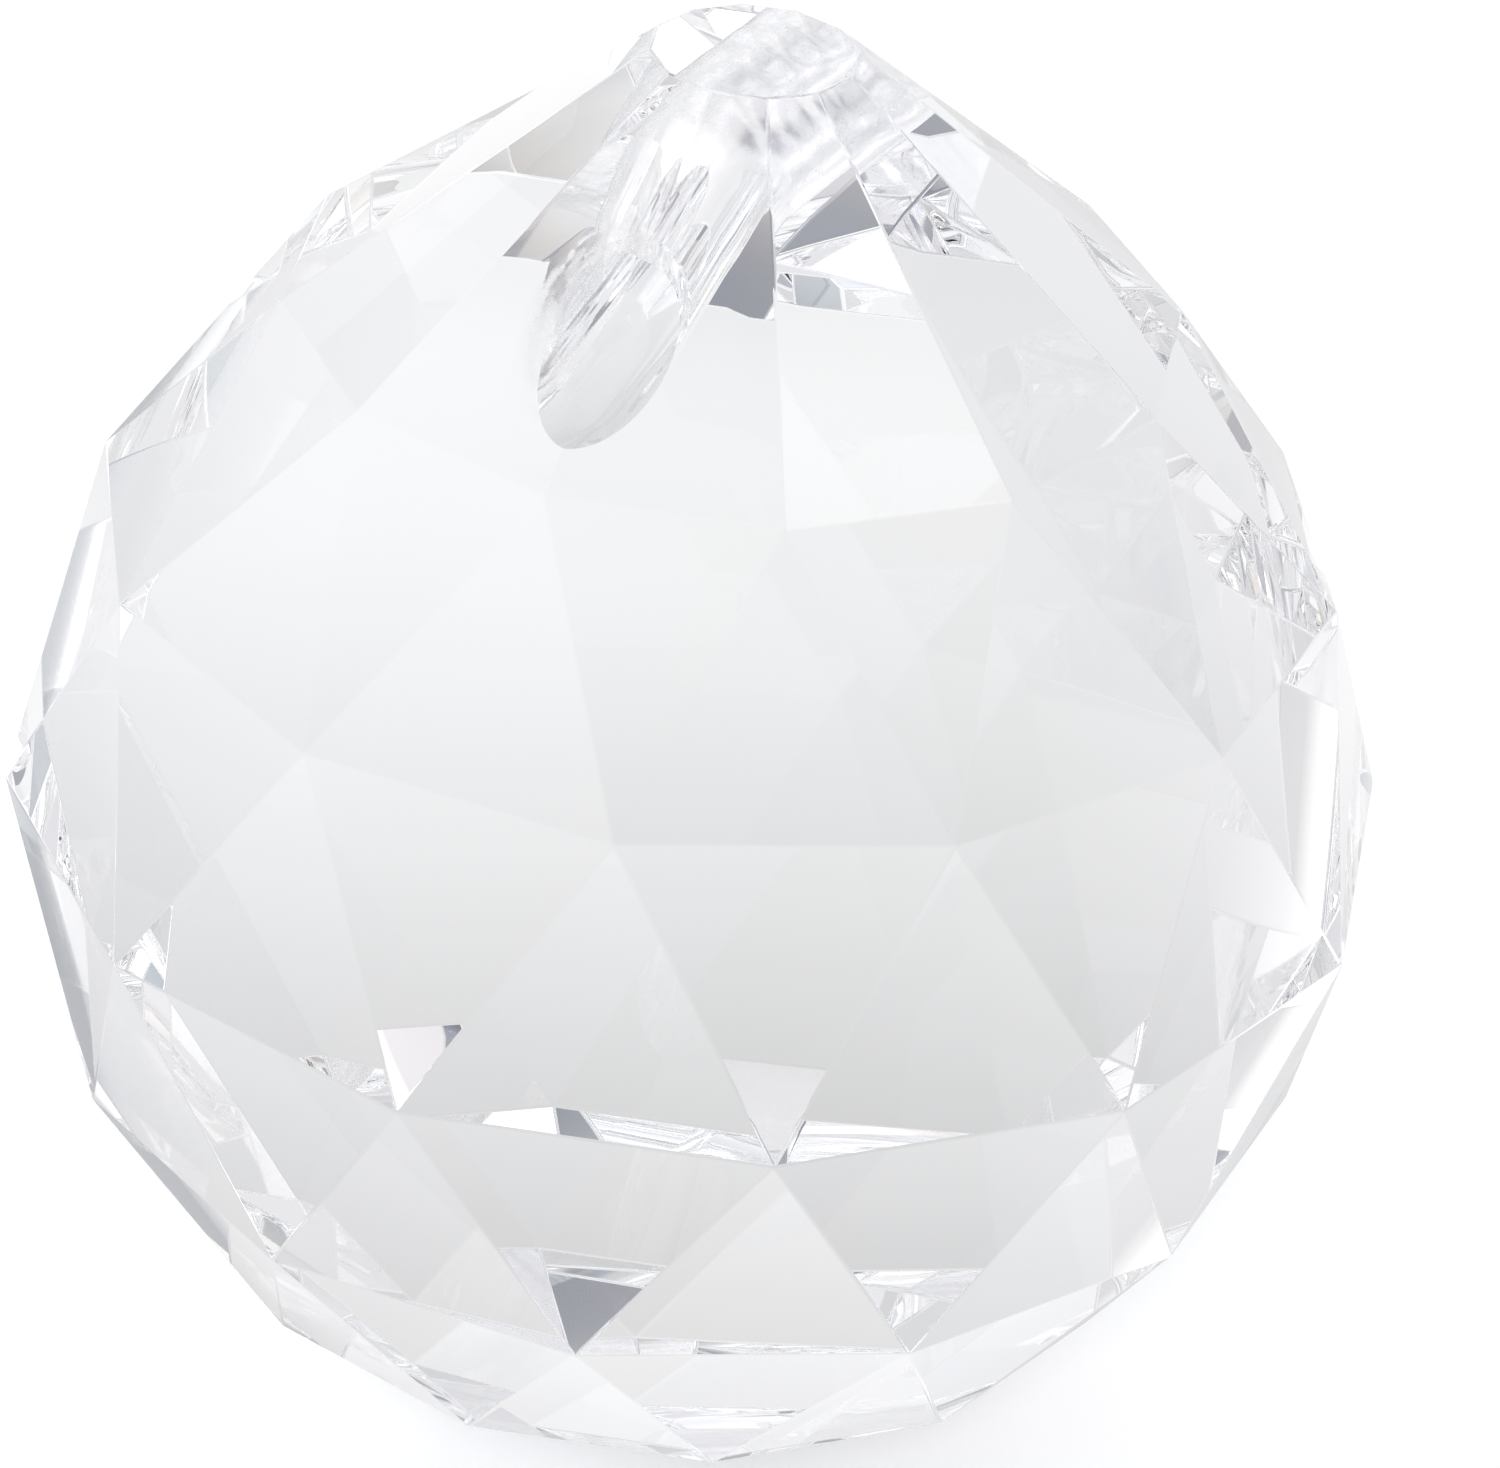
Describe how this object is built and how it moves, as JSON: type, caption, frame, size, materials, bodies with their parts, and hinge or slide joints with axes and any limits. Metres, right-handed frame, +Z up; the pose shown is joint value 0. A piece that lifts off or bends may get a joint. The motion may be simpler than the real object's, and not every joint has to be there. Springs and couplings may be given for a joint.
{
  "type": "crystal suncatcher",
  "caption": "Faceted clear crystal ball with a pointed top, drilled across the tip so that it hangs from a thread and throws coloured light.",
  "frame": {"origin": "midway between the two mouths of the hanging hole, on the ball's axis", "axes": "+Z up along the ball's axis, from the bottom flat to the tip; Y along the hanging hole; X across it"},
  "size_m": [0.03, 0.03, 0.031],
  "materials": {
    "clear_crystal": "clear colourless crystal, cut and polished flat facets, the drilled hole partly rough"
  },
  "bodies": {
    "root": {"crystal_ball": "clear_crystal"}
  },
  "joints": []
}
